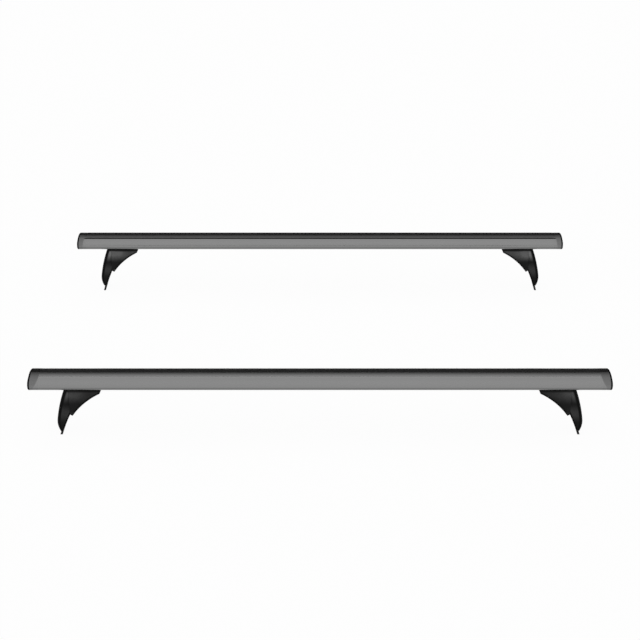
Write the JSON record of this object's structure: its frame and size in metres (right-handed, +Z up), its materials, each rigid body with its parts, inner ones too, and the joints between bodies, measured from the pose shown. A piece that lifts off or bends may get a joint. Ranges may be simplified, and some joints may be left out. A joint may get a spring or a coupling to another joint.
{
  "type": "roof rack",
  "caption": "Car roof rack of aero wing crossbars with rubber top strips, end caps and curved black clamp feet that slide along the bars and grip the roof edge.",
  "frame": {"origin": "midway between the four feet, on the plane that their hooks stand on", "axes": "+X along the bars to the right as seen from the front, +Y from the front bar to the rear bar, +Z up"},
  "size_m": [1.256, 0.836, 0.1536],
  "materials": {
    "bar_aluminium": "satin grey anodised",
    "strip_rubber": "ribbed matt rubber",
    "cap_plastic": "fine grained dark grey plastic",
    "foot_plastic": "satin black moulded plastic",
    "pad_rubber": "matt rubber",
    "bracket_steel": "black coated steel",
    "fastener_steel": "zinc plated"
  },
  "bodies": {
    "bars": {"front_bar": "bar_aluminium", "front_top_strip": "strip_rubber", "front_left_end_cap": "cap_plastic", "front_right_end_cap": "cap_plastic", "rear_bar": "bar_aluminium", "rear_top_strip": "strip_rubber", "rear_left_end_cap": "cap_plastic", "rear_right_end_cap": "cap_plastic"},
    "front_left_foot": {"front_left_base": "foot_plastic", "front_left_roof_pad": "pad_rubber", "front_left_clamp_nut": "fastener_steel", "front_left_guide_pins": "fastener_steel", "front_left_channel_plate": "fastener_steel", "front_left_base_screws": "fastener_steel"},
    "front_left_clamp": {"front_left_clamp_arm": "foot_plastic", "front_left_clamp_bracket": "bracket_steel", "front_left_washer": "fastener_steel"},
    "front_left_bolt": {"front_left_clamp_bolt": "fastener_steel"},
    "front_right_foot": {"front_right_base": "foot_plastic", "front_right_roof_pad": "pad_rubber", "front_right_clamp_nut": "fastener_steel", "front_right_guide_pins": "fastener_steel", "front_right_channel_plate": "fastener_steel", "front_right_base_screws": "fastener_steel"},
    "front_right_clamp": {"front_right_clamp_arm": "foot_plastic", "front_right_clamp_bracket": "bracket_steel", "front_right_washer": "fastener_steel"},
    "front_right_bolt": {"front_right_clamp_bolt": "fastener_steel"},
    "rear_left_foot": {"rear_left_base": "foot_plastic", "rear_left_roof_pad": "pad_rubber", "rear_left_clamp_nut": "fastener_steel", "rear_left_guide_pins": "fastener_steel", "rear_left_channel_plate": "fastener_steel", "rear_left_base_screws": "fastener_steel"},
    "rear_left_clamp": {"rear_left_clamp_arm": "foot_plastic", "rear_left_clamp_bracket": "bracket_steel", "rear_left_washer": "fastener_steel"},
    "rear_left_bolt": {"rear_left_clamp_bolt": "fastener_steel"},
    "rear_right_foot": {"rear_right_base": "foot_plastic", "rear_right_roof_pad": "pad_rubber", "rear_right_clamp_nut": "fastener_steel", "rear_right_guide_pins": "fastener_steel", "rear_right_channel_plate": "fastener_steel", "rear_right_base_screws": "fastener_steel"},
    "rear_right_clamp": {"rear_right_clamp_arm": "foot_plastic", "rear_right_clamp_bracket": "bracket_steel", "rear_right_washer": "fastener_steel"},
    "rear_right_bolt": {"rear_right_clamp_bolt": "fastener_steel"}
  },
  "joints": [
    {"name": "front_left_foot_slide", "type": "slide", "parent": "bars", "child": "front_left_foot", "axis": [-1, 0, 0], "range_m": [-0.1, 0.03]},
    {"name": "front_left_clamp_slide", "type": "slide", "parent": "front_left_foot", "child": "front_left_clamp", "axis": [-1, 0, 0], "range_m": [0, 0.008]},
    {"name": "front_left_bolt_turn", "type": "hinge", "parent": "front_left_clamp", "child": "front_left_bolt", "pos_m": [-0.552, -0.375, 0.101], "axis": [-1, 0, 0], "range_deg": [0, 2310]},
    {"name": "front_right_foot_slide", "type": "slide", "parent": "bars", "child": "front_right_foot", "axis": [1, 0, 0], "range_m": [-0.1, 0.03]},
    {"name": "front_right_clamp_slide", "type": "slide", "parent": "front_right_foot", "child": "front_right_clamp", "axis": [1, 0, 0], "range_m": [0, 0.008]},
    {"name": "front_right_bolt_turn", "type": "hinge", "parent": "front_right_clamp", "child": "front_right_bolt", "pos_m": [0.552, -0.375, 0.101], "axis": [1, 0, 0], "range_deg": [0, 2310]},
    {"name": "rear_left_foot_slide", "type": "slide", "parent": "bars", "child": "rear_left_foot", "axis": [-1, 0, 0], "range_m": [-0.1, 0.03]},
    {"name": "rear_left_clamp_slide", "type": "slide", "parent": "rear_left_foot", "child": "rear_left_clamp", "axis": [-1, 0, 0], "range_m": [0, 0.008]},
    {"name": "rear_left_bolt_turn", "type": "hinge", "parent": "rear_left_clamp", "child": "rear_left_bolt", "pos_m": [-0.552, 0.375, 0.106], "axis": [-1, 0, 0], "range_deg": [0, 2310]},
    {"name": "rear_right_foot_slide", "type": "slide", "parent": "bars", "child": "rear_right_foot", "axis": [1, 0, 0], "range_m": [-0.1, 0.03]},
    {"name": "rear_right_clamp_slide", "type": "slide", "parent": "rear_right_foot", "child": "rear_right_clamp", "axis": [1, 0, 0], "range_m": [0, 0.008]},
    {"name": "rear_right_bolt_turn", "type": "hinge", "parent": "rear_right_clamp", "child": "rear_right_bolt", "pos_m": [0.552, 0.375, 0.106], "axis": [1, 0, 0], "range_deg": [0, 2310]}
  ],
  "couplings": [
    {"joint": "front_left_bolt_turn", "follows": "front_left_clamp_slide", "rad_per_m": 5026.5},
    {"joint": "front_right_bolt_turn", "follows": "front_right_clamp_slide", "rad_per_m": 5026.5},
    {"joint": "rear_left_bolt_turn", "follows": "rear_left_clamp_slide", "rad_per_m": 5026.5},
    {"joint": "rear_right_bolt_turn", "follows": "rear_right_clamp_slide", "rad_per_m": 5026.5}
  ]
}
